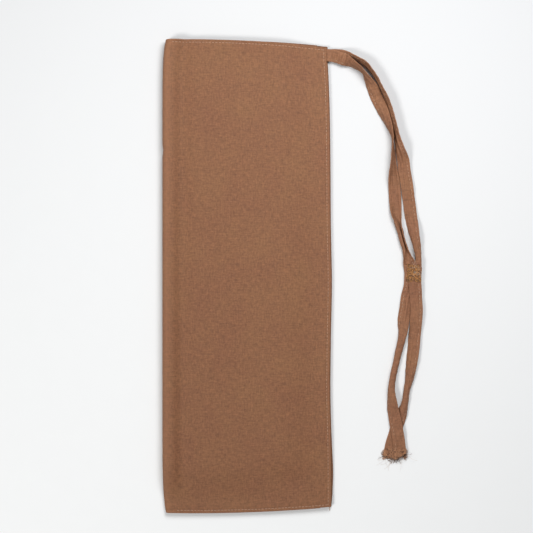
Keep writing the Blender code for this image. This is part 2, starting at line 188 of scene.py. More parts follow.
FRONT_LOWER = (
    (0.1414, 0.0095, -1, 0.0016, 4),
    (0.1416, 0.0020, 0, 0.0015, 2),
    (0.1409, -0.0080, 0, 0.0014, -4),
    (0.1386, -0.0180, -2, 0.0006, -12),
    (0.1371, -0.0285, -6, 0.0003, -18),
    (0.1353, -0.0385, 10, 0.0003, -30),
    (0.1333, -0.0490, 34, 0.0003, -72),
    (0.1309, -0.0600, 46, 0.0003, -120),
    (0.1283, -0.0710, 48, 0.0003, -138),
    (0.1259, -0.0815, 48, 0.0003, -140),
    (0.1237, -0.0920, 48, 0.0003, -130),
    (0.1231, -0.1020, 44, 0.0003, -80),
    (0.1250, -0.1115, 30, 0.0006, -34),
    (0.1272, -0.1215, 17, 0.0012, -12),
    (0.1294, -0.1318, 7, 0.0020, -8),
    (0.1311, -0.1420, 4, 0.0020, -8),
    (0.1329, -0.1562, 3, 0.0013, -10),
)
BACK_LOWER = (
    (0.1453, 0.0095, 6, 0.0042, 0),
    (0.1452, 0.0020, 2, 0.0041, 0),
    (0.1454, -0.0080, 2, 0.0038, -4),
    (0.1461, -0.0180, 4, 0.0024, -12),
    (0.1466, -0.0285, 8, 0.0022, -14),
    (0.1461, -0.0385, 10, 0.0022, -14),
    (0.1451, -0.0490, 12, 0.0003, -16),
    (0.1442, -0.0600, 14, 0.0003, -16),
    (0.1426, -0.0710, 20, 0.0003, -28),
    (0.1408, -0.0815, 20, 0.0003, -60),
    (0.1389, -0.0920, 18, 0.0003, -105),
    (0.1371, -0.1020, 14, 0.0003, -130),
    (0.1359, -0.1110, 10, 0.0003, -112),
    (0.1333, -0.1196, 8, 0.0003, -50),
    (0.1305, -0.1279, 4, 0.0003, -14),
    (0.1279, -0.1366, 0, 0.0003, 0),
    (0.1253, -0.1452, 0, 0.0003, -4),
    (0.1230, -0.1570, 0, 0.0003, -8),
)


# ---------------------------------------------------------------- tools

def ease(value):
    """0 to 1 with soft ends."""
    value = min(max(value, 0.0), 1.0)
    return value * value * (3 - 2 * value)


def bell(distance, reach):
    return math.exp(-((distance / reach) ** 2))


def deselect():
    bpy.ops.object.select_all(action="DESELECT")


def make_active(obj):
    deselect()
    obj.select_set(True)
    bpy.context.view_layer.objects.active = obj


def add_mesh(name, points, faces, material):
    mesh = bpy.data.meshes.new(name)
    mesh.from_pydata(points, [], faces)
    mesh.materials.append(material)
    mesh.shade_smooth()
    obj = bpy.data.objects.new(name, mesh)
    bpy.context.collection.objects.link(obj)
    return obj


def apply_modifiers(obj):
    make_active(obj)
    for modifier in list(obj.modifiers):
        bpy.ops.object.modifier_apply(modifier=modifier.name)


def join_as(name, parts):
    """The parts made one mesh under that name."""
    deselect()
    for part in parts:
        part.select_set(True)
    bpy.context.view_layer.objects.active = parts[0]
    if len(parts) > 1:
        bpy.ops.object.join()
    joined = bpy.context.view_layer.objects.active
    joined.name = joined.data.name = name
    return joined


# ---------------------------------------------------------------- materials

def new_group(name, inputs, outputs):
    """A shader node group and its input and output nodes."""
    group = bpy.data.node_groups.new(name, "ShaderNodeTree")
    for label, kind, default in inputs:
        socket = group.interface.new_socket(label, in_out="INPUT", socket_type=kind)
        if default is not None:
            socket.default_value = default
    for label, kind in outputs:
        group.interface.new_socket(label, in_out="OUTPUT", socket_type=kind)
    return group, group.nodes.new("NodeGroupInput"), group.nodes.new("NodeGroupOutput")


class Wiring:
    """Adds nodes to a tree and joins them, a socket or a plain value at each input."""

    def __init__(self, tree):
        self.tree = tree

    def feed(self, socket, value):
        if isinstance(value, bpy.types.NodeSocket):
            self.tree.links.new(value, socket)
        elif value is not None:
            socket.default_value = value

    def maths(self, operation, a, b=None, clamp=False):
        node = self.tree.nodes.new("ShaderNodeMath")
        node.operation, node.use_clamp = operation, clamp
        self.feed(node.inputs[0], a)
        self.feed(node.inputs[1], b)
        return node.outputs[0]

    def mix(self, factor, a, b, kind="RGBA", blend="MIX"):
        node = self.tree.nodes.new("ShaderNodeMix")
        node.data_type = kind
        if kind == "RGBA":
            node.blend_type = blend
        sockets = [s for s in node.inputs if s.enabled]
        self.feed(sockets[0], factor)
        self.feed(sockets[1], a)
        self.feed(sockets[2], b)
        return next(s for s in node.outputs if s.enabled)

    def split(self, vector):
        node = self.tree.nodes.new("ShaderNodeSeparateXYZ")
        self.feed(node.inputs[0], vector)
        return node.outputs

    def scaled(self, vector, scale):
        node = self.tree.nodes.new("ShaderNodeMapping")
        self.feed(node.inputs["Vector"], vector)
        self.feed(node.inputs["Scale"], scale)
        return node.outputs[0]

    def noise(self, vector, scale, detail=2.0, roughness=0.5):
        node = self.tree.nodes.new("ShaderNodeTexNoise")
        self.feed(node.inputs["Vector"], vector)
        self.feed(node.inputs["Scale"], scale)
        self.feed(node.inputs["Detail"], detail)
        self.feed(node.inputs["Roughness"], roughness)
        return node.outputs["Fac"]

    def spread(self, value, low, high, to_low=0.0, to_high=1.0):
        node = self.tree.nodes.new("ShaderNodeMapRange")
        for socket, given in zip(node.inputs, (value, low, high, to_low, to_high)):
            self.feed(socket, given)
        return node.outputs[0]


def make_weave_group():
    """Plain weave over UV in metres: each yarn over one and under the next."""
    group, start, end = new_group(
        "plain_weave",
        (("Vector", "NodeSocketVector", None), ("Yarns per metre", "NodeSocketFloat", 2400.0)),
        (("Height", "NodeSocketFloat"), ("Warp on top", "NodeSocketFloat"),
         ("Slub", "NodeSocketFloat"), ("Fleck", "NodeSocketFloat")),
    )
    w = Wiring(group)
    u, v, _ = w.split(start.outputs["Vector"])
    turn = w.maths("MULTIPLY", start.outputs["Yarns per metre"], math.pi)
    across = w.maths("SINE", w.maths("MULTIPLY", u, turn))
    along = w.maths("SINE", w.maths("MULTIPLY", v, turn))
    warp_on_top = w.maths("GREATER_THAN", w.maths("MULTIPLY", across, along), 0.0)
    yarn = w.mix(
        warp_on_top, w.maths("ABSOLUTE", along), w.maths("ABSOLUTE", across), kind="FLOAT"
    )
    warp_slub = w.noise(w.scaled(start.outputs["Vector"], (1300, 90, 1)), 1.0, 3.0, 0.6)
    weft_slub = w.noise(w.scaled(start.outputs["Vector"], (90, 1300, 1)), 1.0, 3.0, 0.6)
    slub = w.maths("MULTIPLY", w.maths("ADD", warp_slub, weft_slub), 0.5)
    upright = w.noise(w.scaled(start.outputs["Vector"], (760, 230, 1)), 1.0, 2.0, 0.65)
    level = w.noise(w.scaled(start.outputs["Vector"], (210, 720, 1)), 1.0, 2.0, 0.65)
    fleck = w.maths("MULTIPLY", w.maths("ADD", upright, level), 0.5)
    group.links.new(yarn, end.inputs["Height"])
    group.links.new(warp_on_top, end.inputs["Warp on top"])
    group.links.new(slub, end.inputs["Slub"])
    group.links.new(fleck, end.inputs["Fleck"])
    return group


def make_mottle_group():
    """Broad unevenness of dye and pressing, and a finer speckle."""
    group, start, end = new_group(
        "dye_mottle",
        (("Vector", "NodeSocketVector", None),),
        (("Broad", "NodeSocketFloat"), ("Speckle", "NodeSocketFloat")),
    )
    w = Wiring(group)
    broad = w.noise(start.outputs["Vector"], 34.0, 3.0, 0.55)
    speckle = w.noise(start.outputs["Vector"], 620.0, 2.0, 0.6)
    group.links.new(broad, end.inputs["Broad"])
    group.links.new(speckle, end.inputs["Speckle"])
    return group


def use_group(tree, group, **values):
    node = tree.nodes.new("ShaderNodeGroup")
    node.node_tree = group
    w = Wiring(tree)
    for label, value in values.items():
        w.feed(node.inputs[label.replace("_", " ")], value)
    return node.outputs


def start_material(name, roughness, sheen, sheen_tint):
    material = bpy.data.materials.new(name)
    material.use_nodes = True
    shader = material.node_tree.nodes["Principled BSDF"]
    shader.inputs["Roughness"].default_value = roughness
    shader.inputs["Metallic"].default_value = 0.0
    shader.inputs["Specular IOR Level"].default_value = 0.32
    shader.inputs["Sheen Weight"].default_value = sheen
    shader.inputs["Sheen Roughness"].default_value = 0.55
    shader.inputs["Sheen Tint"].default_value = (*sheen_tint, 1)
    return material, Wiring(material.node_tree), shader


def make_cloth_material(name, warp, weft, weave, mottle, bump_depth):
    """Matt brown plain weave. `warp` and `weft` are the two yarns' colours."""
    material, w, shader = start_material(name, 0.62, 0.08, (0.55, 0.38, 0.28))
    tree = material.node_tree
    uv = tree.nodes.new("ShaderNodeUVMap")
    uv.uv_map = "cloth"
    place = tree.nodes.new("ShaderNodeTexCoord").outputs["Object"]
    wear_and_highlight = tree.nodes.new("ShaderNodeAttribute")
    wear_and_highlight.attribute_name = "wear_and_highlight"
    woven = use_group(tree, weave, Vector=uv.outputs["UV"])
    dyed = use_group(tree, mottle, Vector=place)
    yarn = w.mix(woven["Warp on top"], (*weft, 1), (*warp, 1))
    shade = w.maths("ADD", w.spread(woven["Slub"], 0.30, 0.70, -0.16, 0.16),
                    w.spread(dyed["Broad"], 0.3, 0.7, 0.965, 1.035))
    shade = w.maths("ADD", shade, w.spread(dyed["Speckle"], 0.3, 0.7, -0.10, 0.10))
    shade = w.maths("ADD", shade, w.spread(woven["Fleck"], 0.3, 0.7, -0.30, 0.30))
    # Painted shade at the weave's scale: the hollows between yarns darker, the crests a little
    # lighter.
    shade = w.maths("ADD", shade, w.spread(woven["Height"], 0.0, 1.0, -0.10, 0.035))
    tint = tree.nodes.new("ShaderNodeHueSaturation")
    w.feed(tint.inputs["Hue"], w.spread(dyed["Broad"], 0.3, 0.7, 0.497, 0.503))
    w.feed(tint.inputs["Value"], shade)
    w.feed(tint.inputs["Color"], yarn)
    # Lighter where the attribute read above is high: wear along the edges, and on the sleeve a
    # painted highlight on the fold's ridge.
    rubbed_and_highlit = w.mix(w.maths("MULTIPLY", wear_and_highlight.outputs["Fac"], 0.30), tint.outputs["Color"],
                   (0.36, 0.165, 0.085, 1))
    w.feed(shader.inputs["Base Color"], rubbed_and_highlit)
    w.feed(shader.inputs["Roughness"], w.spread(woven["Slub"], 0.3, 0.7, 0.55, 0.70))
    bump = tree.nodes.new("ShaderNodeBump")
    bump.inputs["Distance"].default_value = bump_depth
    bump.inputs["Strength"].default_value = 0.55
    height = w.maths("ADD", w.maths("MULTIPLY", woven["Height"], 0.6),
                     w.maths("MULTIPLY", woven["Slub"], 1.2))
    w.feed(bump.inputs["Height"], height)
    w.feed(shader.inputs["Normal"], bump.outputs["Normal"])
    return material


def make_thread_material(name, light, dark):
    """Spun thread, with the slant of its twist."""
    material, w, shader = start_material(name, 0.7, 0.3, (0.8, 0.65, 0.5))
    tree = material.node_tree
    place = tree.nodes.new("ShaderNodeTexCoord").outputs["Object"]
    twist = tree.nodes.new("ShaderNodeTexWave")
    twist.bands_direction = "DIAGONAL"
    w.feed(twist.inputs["Vector"], place)
    w.feed(twist.inputs["Scale"], 900.0)
    w.feed(twist.inputs["Distortion"], 2.0)
    fuzz = w.noise(place, 1600.0, 2.0, 0.6)
    lit = w.maths("MULTIPLY", w.maths("ADD", twist.outputs["Fac"], fuzz), 0.5)
    w.feed(shader.inputs["Base Color"], w.mix(lit, (*dark, 1), (*light, 1)))
    bump = tree.nodes.new("ShaderNodeBump")
    bump.inputs["Distance"].default_value = 0.0001
    bump.inputs["Strength"].default_value = 0.6
    w.feed(bump.inputs["Height"], lit)
    w.feed(shader.inputs["Normal"], bump.outputs["Normal"])
    return material


def make_floor_material():
    """Pale matt paper with painted shade: greyer towards the mouth and the ties, where the
    over_mouth light is near, so the lit paper comes out even.
    """
    material, w, shader = start_material("pale_paper", 0.9, 0.0, (1, 1, 1))
    tree = material.node_tree
    place = tree.nodes.new("ShaderNodeTexCoord").outputs["Object"]
    x, y, _ = w.split(place)
    grain = w.noise(place, 60.0, 3.0, 0.5)
    # Painted shade: the paper's colour darkens towards the mouth and the ties to offset the near
    # light there.
    tilt = w.maths("ADD", w.maths("MULTIPLY", x, -0.23), w.maths("MULTIPLY", y, -0.45))
    light_offset_shade = w.spread(tilt, -0.22, 0.16, 0.0, 1.0)
    colour = w.mix(light_offset_shade, (0.505, 0.510, 0.520, 1), (0.865, 0.875, 0.875, 1))
    colour = w.mix(w.spread(grain, 0.3, 0.7, 0.0, 0.03), colour, (0.6, 0.6, 0.6, 1))
    w.feed(shader.inputs["Base Color"], colour)
    return material


# ---------------------------------------------------------------- sleeve shape

def fold_edge(along):
    """X of the fold, `along` 0 at the bottom to 1 at the mouth: both ends pull in a little."""
    from_top, from_bottom = (1 - along) * CASE_LENGTH, along * CASE_LENGTH
    pull = FOLD_PULL_TOP * math.exp(-from_top / FOLD_PULL_TOP_REACH)
    pull += FOLD_PULL_BOTTOM * math.exp(-from_bottom / FOLD_PULL_BOTTOM_REACH)
    pull += PINCH * bell((along - 0.5) * CASE_LENGTH - PINCH_Y, PINCH_REACH)
    return pull - CASE_WIDTH / 2


def seam_edge(along):
    """X of the front layer's edge at the side seam, which draws in towards the mouth."""
    from_top = (1 - along) * CASE_LENGTH
    drift = 0.0009 * ease((along - 0.06) / 0.30)
    wave = sum(size * bell(CASE_LENGTH / 2 - from_top - y, reach) for y, reach, size in SEAM_WAVES)
    pull = SEAM_PULL * math.exp(-from_top / SEAM_PULL_REACH)
    return CASE_WIDTH / 2 - BACK_PEEK - drift + wave - pull


def side_peek(along):
    """How far the back layer stands out past the front one at the side seam."""
    return 0.0009 + 0.0011 * bell(along - 0.075, 0.052) - 0.0005 * bell(along, 0.016)


def place(across, along, side):
    """X and Y at fractions of the way from fold to seam and from bottom to mouth."""
    peek = side_peek(along) if side < 0 else 0.0
    left, right = fold_edge(along), seam_edge(along) + peek
    bulge = 4 * across * (1 - across)
    bottom = -CASE_LENGTH / 2 + BOTTOM_SLOPE * across - BOTTOM_BOW * bulge
    top = CASE_LENGTH / 2 - TOP_SLOPE * across + TOP_BOW * bulge
    if side < 0:
        top += 0.0014 * ease((across - 0.30) / 0.42)
    return left + (right - left) * across, bottom + (top - bottom) * along


def distances(across, along):
    """How far a point is from the fold, the side seam, the bottom seam and the mouth."""
    width = seam_edge(along) - fold_edge(along)
    length = CASE_LENGTH - (TOP_SLOPE + BOTTOM_SLOPE) * across
    return across * width, (1 - across) * width, along * length, (1 - along) * length


def front_top(across, along):
    """Height of the front layer's outer side: the crown over the pocket, with the marks that
    folding, pressing and stitching leave."""
    from_fold, from_seam, from_bottom, from_mouth = distances(across, along)
    over_bottom = ease((from_bottom - CORNER_CLEAR) / 0.034)
    over_seam = ease((from_seam - CORNER_CLEAR) / 0.038)
    ridge = (0.0028 - 0.0003 * along) * (1 - ease((from_fold - 0.0080) / 0.0085))
    lift = MOUTH_LIFT * math.exp(-from_mouth / MOUTH_LIFT_REACH)
    valley = 0.0009 * bell(from_fold - 0.0185, 0.0052)
    over = over_bottom * over_seam
    height = SEAM_TOP + (CROWN - SEAM_TOP + ridge + lift - valley) * over
    height += pressing(from_seam) + pressing(from_bottom) + pressing(from_mouth)
    x, y = place(across, along, 1)
    waves = undulation(x, y)
    waves = waves * ease((from_seam - 0.004) / 0.03) * ease((from_bottom - 0.004) / 0.03)
    return height + waves


def pressing(from_edge):
    """Turned-in cloth shows through as a low step, and stitching draws the layers together."""
    step = 0.00022 * ease((TURN_IN_WIDTH + 0.0008 - from_edge) / 0.0016)
    edge = 0.00016 * bell(from_edge - 0.0008, 0.0009)
    groove = 0.00022 * bell(from_edge - STITCH_INSET, 0.0008)
    return step + edge - groove


def undulation(x, y):
    """Soft waves of cloth that has been folded and laid down, and a slanting dent low down."""
    waves = 0.00020 * math.sin(x * 47 + y * 19 + 0.6) + 0.00016 * math.sin(x * 23 - y * 41 + 2.1)
    waves += 0.00009 * math.sin(x * 95 + y * 63) + 0.00007 * math.sin(x * 71 - y * 117 + 1.3)
    slant = (x - 0.040) * 0.55 + (y + 0.172) * 0.83
    reach = bell((x - 0.040) * 0.83 - (y + 0.172) * 0.55, 0.034)
    dent = (0.0011 * bell(slant + 0.009, 0.010) - 0.0006 * bell(slant - 0.010, 0.010)) * reach
    return waves - dent


def back_under(across, along):
    """Height of the back layer's outer side: flat on the surface, with its edges raised."""
    nearest = min(distances(across, along)[1:])
    return EDGE_RISE * ease((0.014 - nearest) / 0.010)


def spaced_out(close, start, end, step):
    """Close values first, then even ones up to the same close values before the end."""
    first = [start + d for d in close]
    last = [end - d for d in close[::-1]]
    count = round((last[0] - first[-1]) / step)
    middle = [first[-1] + (last[0] - first[-1]) * k / count for k in range(1, count)]
    return first + middle + last


def sleeve_grid():
    """The cloth's outer side as rows from the bottom to the mouth. Each row runs from the front
    layer's seam edge to the fold, round it, and back to the back layer's seam edge."""
    close = (TURN_RADIUS, 0.0010, 0.0016, 0.0021, 0.0025, 0.0029, 0.0035, 0.0046, 0.0062,
             TURN_IN_WIDTH, 0.0094)
    width = CASE_WIDTH - BACK_PEEK
    from_seam = list(close)
    reach = width - FOLD_RADIUS - from_seam[-1]
    count = round(reach / 0.0020)
    from_seam += [from_seam[-1] + reach * k / count for k in range(1, count + 1)]
    acrosses = [1 - d / width for d in from_seam]
    from_bottom = spaced_out(close, 0.0, CASE_LENGTH, 0.0026)
    alongs = [d / CASE_LENGTH for d in from_bottom]
    turns = [90 - 15 * k for k in range(1, 12)]
    grid = []
    for along in alongs:
        row = []
        for across in acrosses:
            row.append(Vector((*place(across, along, 1), front_top(across, along))))
        start = FOLD_RADIUS / width
        under, over = back_under(start, along), front_top(start, along)
        for degrees in turns:
            angle = math.radians(degrees)
            x, y = place(start * (1 - math.cos(angle)), along, 1)
            row.append(Vector((x, y, under + (over - under) * (1 + math.sin(angle)) / 2)))
        for across in acrosses[::-1]:
            row.append(Vector((*place(across, along, -1), back_under(across, along))))
        grid.append(row)
    return grid, from_seam, from_bottom, len(turns)


def grid_normals(grid):
    rows, columns = len(grid), len(grid[0])
    normals = []
    for j in range(rows):
        below, above = grid[max(j - 1, 0)], grid[min(j + 1, rows - 1)]
        normals.append([
            (above[i] - below[i]).cross(
                grid[j][min(i + 1, columns - 1)] - grid[j][max(i - 1, 0)]
            ).normalized()
            for i in range(columns)
        ])
    return normals


def turned(kept):
    """Positions along one direction: (index, turn in degrees), with the turned-in cloth first
    and last. `kept` is how many positions the turned-in cloth lies under, of how many."""
    under, count = kept
    turn = (135, 90, 45)
    first = [(i, 180) for i in range(under - 1, -1, -1)] + [(0, d) for d in turn]
    last = [(count - 1, d) for d in turn[::-1]]
    last += [(count - 1 - i, 180) for i in range(under)]
    return first + [(i, 0) for i in range(count)] + last


def make_sleeve(material):
    """The whole cloth as one sheet: both layers, the fold and all that is turned in."""
    grid, from_seam, from_bottom, roll = sleeve_grid()
    normals = grid_normals(grid)
    rows, columns = len(grid), len(grid[0])
    under = sum(d <= TURN_IN_WIDTH + 1e-6 for d in from_seam)
    clear = sum(d < CORNER_CLEAR for d in from_seam)
    row_steps, column_steps = turned((under, rows)), turned((under, columns))

    def point(j, i, turn, way):
        """A point turned in: `way` is the direction in which the edge faces."""
        angle = math.radians(turn)
        at = grid[j][i] + way * (TURN_RADIUS * math.sin(angle))
        return at - normals[j][i] * (TURN_RADIUS * (1 - math.cos(angle)))

    middle = grid[rows // 2]
    loop = [0.0]
    for a, b in zip(middle, middle[1:]):
        loop.append(loop[-1] + (b - a).length)
    points, index, flat = [], {}, []
    for r, (j, row_turn) in enumerate(row_steps):
        for c, (i, column_turn) in enumerate(column_steps):
            if row_turn and (column_turn or not clear <= i < columns - clear):
                continue
            if column_turn:
                edge = 0 if c < len(column_steps) / 2 else columns - 1
                way = (grid[j][edge] - grid[j][1 if edge == 0 else columns - 2]).normalized()
                points.append(point(j, i, column_turn, way))
            elif row_turn:
                edge = 0 if r < len(row_steps) / 2 else rows - 1
                way = (grid[edge][i] - grid[1 if edge == 0 else rows - 2][i]).normalized()
                points.append(point(j, i, row_turn, way))
            else:
                points.append(grid[j][i])
            index[r, c] = len(points) - 1
            flat.append((turned_place(loop, i, column_turn, c < len(column_steps) / 2),
                         turned_place(from_bottom, j, row_turn, r < len(row_steps) / 2)))
    faces = []
    for r in range(len(row_steps) - 1):
        for c in range(len(column_steps) - 1):
            corners = [(r, c), (r + 1, c), (r + 1, c + 1), (r, c + 1)]
            if all(corner in index for corner in corners):
                faces.append([index[corner] for corner in corners])
    sleeve = add_mesh("sleeve_cloth", points, faces, material)
    write_flat(sleeve, flat)
    wear_highlight_layer = sleeve.data.attributes.new("wear_and_highlight", "FLOAT", "POINT")
    values = []
    for k, vertex in enumerate(sleeve.data.vertices):
        u, v = flat[k]
        to_edge = min(abs(u), abs(loop[-1] - u), abs(v), abs(CASE_LENGTH - v))
        to_fold = abs(u - loop[-1] / 2)
        # Painted highlight on the ridge beside the fold, growing towards the mouth; the narrow
        # band along the edges is wear.
        ridge_highlight = (0.68 + 0.62 * v / CASE_LENGTH) * bell(to_fold - 0.0058, 0.0042)
        values.append(0.55 * bell(to_edge, 0.0009) + ridge_highlight)
    wear_highlight_layer.data.foreach_set("value", values)
    solid = sleeve.modifiers.new("Thickness", "SOLIDIFY")
    solid.thickness, solid.offset = CLOTH, -1
    apply_modifiers(sleeve)
    return sleeve


def turned_place(flat, index, turn, first):
    """Distance along the flat cloth of a position that may be turned in."""
    if not turn:
        return flat[index]
    round_it = TURN_RADIUS * math.radians(turn)
    if turn == 180:
        round_it += flat[index] - flat[0] if first else flat[-1] - flat[index]
    return flat[0] - round_it if first else flat[-1] + round_it


def write_flat(obj, flat):
    """The flat cloth's own coordinates, in metres, as the UV map."""
    layer = obj.data.uv_layers.new(name="cloth")
    for loop in obj.data.loops:
        layer.data[loop.index].uv = flat[loop.vertex_index]


# ---------------------------------------------------------------- stitches

def make_stitch(material, length, width, height):
    """One stitch lying along X, its ends dipping into the cloth."""
    deselect()
    bpy.ops.mesh.primitive_cylinder_add(
        vertices=8, radius=width / 2, depth=length, rotation=(0, math.pi / 2, 0)
    )
    stitch = bpy.context.active_object
    bpy.ops.object.transform_apply(location=True, rotation=True, scale=True)
    bpy.ops.object.mode_set(mode="EDIT")
    for x in (-length * 0.28, length * 0.28):
        bpy.ops.mesh.select_all(action="SELECT")
        bpy.ops.mesh.bisect(plane_co=(x, 0, 0), plane_no=(1, 0, 0))
    bpy.ops.object.mode_set(mode="OBJECT")
    for side in (-1, 1):
        for element in (*stitch.data.vertices, *stitch.data.edges, *stitch.data.polygons):
            element.select = False
        for vertex in stitch.data.vertices:
            vertex.select = vertex.co.x * side > length * 0.4
        bpy.ops.object.mode_set(mode="EDIT")
        bpy.ops.mesh.select_mode(type="VERT")
        bpy.ops.transform.resize(value=(1, 0.55, 0.55))
        bpy.ops.transform.translate(value=(0, 0, -height * 0.62))
        bpy.ops.object.mode_set(mode="OBJECT")
    stitch.data.transform(Matrix.Diagonal((1, 1, height / width, 1)))
    stitch.data.materials.append(material)
    stitch.data.shade_smooth()
    return stitch


def sew(name, stitch, places):
    """A line of stitches: copies of one at each (centre, ahead, up)."""
    copies = []
    for centre, ahead, up in places:
        ahead = ahead.normalized()
        side = up.cross(ahead).normalized()
        turn = Matrix((ahead, side, ahead.cross(side))).transposed().to_4x4()
        copy = stitch.copy()
        copy.data = stitch.data.copy()
        copy.data.transform(Matrix.Translation(centre) @ turn)
        bpy.context.collection.objects.link(copy)
        copies.append(copy)
    return join_as(name, copies)


def along_layer(side, start, end, pitch):
    """Stitch places on a layer between two ends given as (across, along)."""
    outer = front_top if side > 0 else back_under
    length = (end[0] - start[0]) * CASE_WIDTH or (end[1] - start[1]) * CASE_LENGTH
    count = round(length / pitch)
    count = max(abs(count), 1)
    rng = random.Random(int(1000 * (start[0] + 3 * start[1])) + side)

    def at(t):
        across, along = (a + (b - a) * t for a, b in zip(start, end))
        x, y = place(across, along, side)
        return Vector((x, y, outer(across, along)))

    places = []
    for k in range(count):
        t = (k + 0.5 + rng.uniform(-0.05, 0.05)) / count
        here, ahead = at(t), at(min(t + 0.002, 1)) - at(max(t - 0.002, 0))
        wobble = Vector((rng.uniform(-1, 1), rng.uniform(-1, 1), 0)) * 0.00006
        sunk = rng.choice((0.00010, 0.00008, 0.00004, -0.00006))
        places.append((here + wobble + Vector((0, 0, side * sunk)), ahead,
                       Vector((0, 0, side))))
    return places


def sew_sleeve(stitch):
    """The six lines of topstitching that show, three on each side."""
    width, length = CASE_WIDTH - BACK_PEEK, CASE_LENGTH
    in_side, in_end = 1 - STITCH_INSET / width, STITCH_INSET / length
    lines = []
    for side, suffix in ((1, "front"), (-1, "back")):
        ends = ((in_side, 0.0012 / length), (in_side, 1 - 0.0012 / length))
        lines.append(("side_seam", suffix, along_layer(side, *ends, STITCH_PITCH)))
        ends = ((0.0100 / width, in_end), (in_side, in_end))
        lines.append(("bottom_seam", suffix, along_layer(side, *ends, STITCH_PITCH)))
        ends = ((0.0060 / width, 1 - in_end), (in_side, 1 - in_end))
        lines.append(("mouth_hem", suffix, along_layer(side, *ends, STITCH_PITCH)))
    for line, suffix, places in lines:
        piece = sew(f"{line}_stitches_{suffix}", stitch, places)
        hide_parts(f"{line}_thread_{suffix}")
        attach(piece, "case")


# ---------------------------------------------------------------- tapes

def smooth_between(values, t):
    a, b, c, d = values
    return 0.5 * (
        2 * b + (c - a) * t + (2 * a - 5 * b + 4 * c - d) * t**2 + (3 * b - a - 3 * c + d) * t**3
    )


def catmull_rom(rows, steps):
    """A smooth row of values through the given ones, `steps` for each stretch."""
    padded = [
        [2 * a - b for a, b in zip(rows[0], rows[1])],
        *rows,
        [2 * a - b for a, b in zip(rows[-1], rows[-2])],
    ]
    made = []
    for k in range(1, len(padded) - 2):
        window = padded[k - 1 : k + 3]
        for i in range(steps):
            made.append([smooth_between(values, i / steps) for values in zip(*window)])
    made.append(list(rows[-1]))
    return made


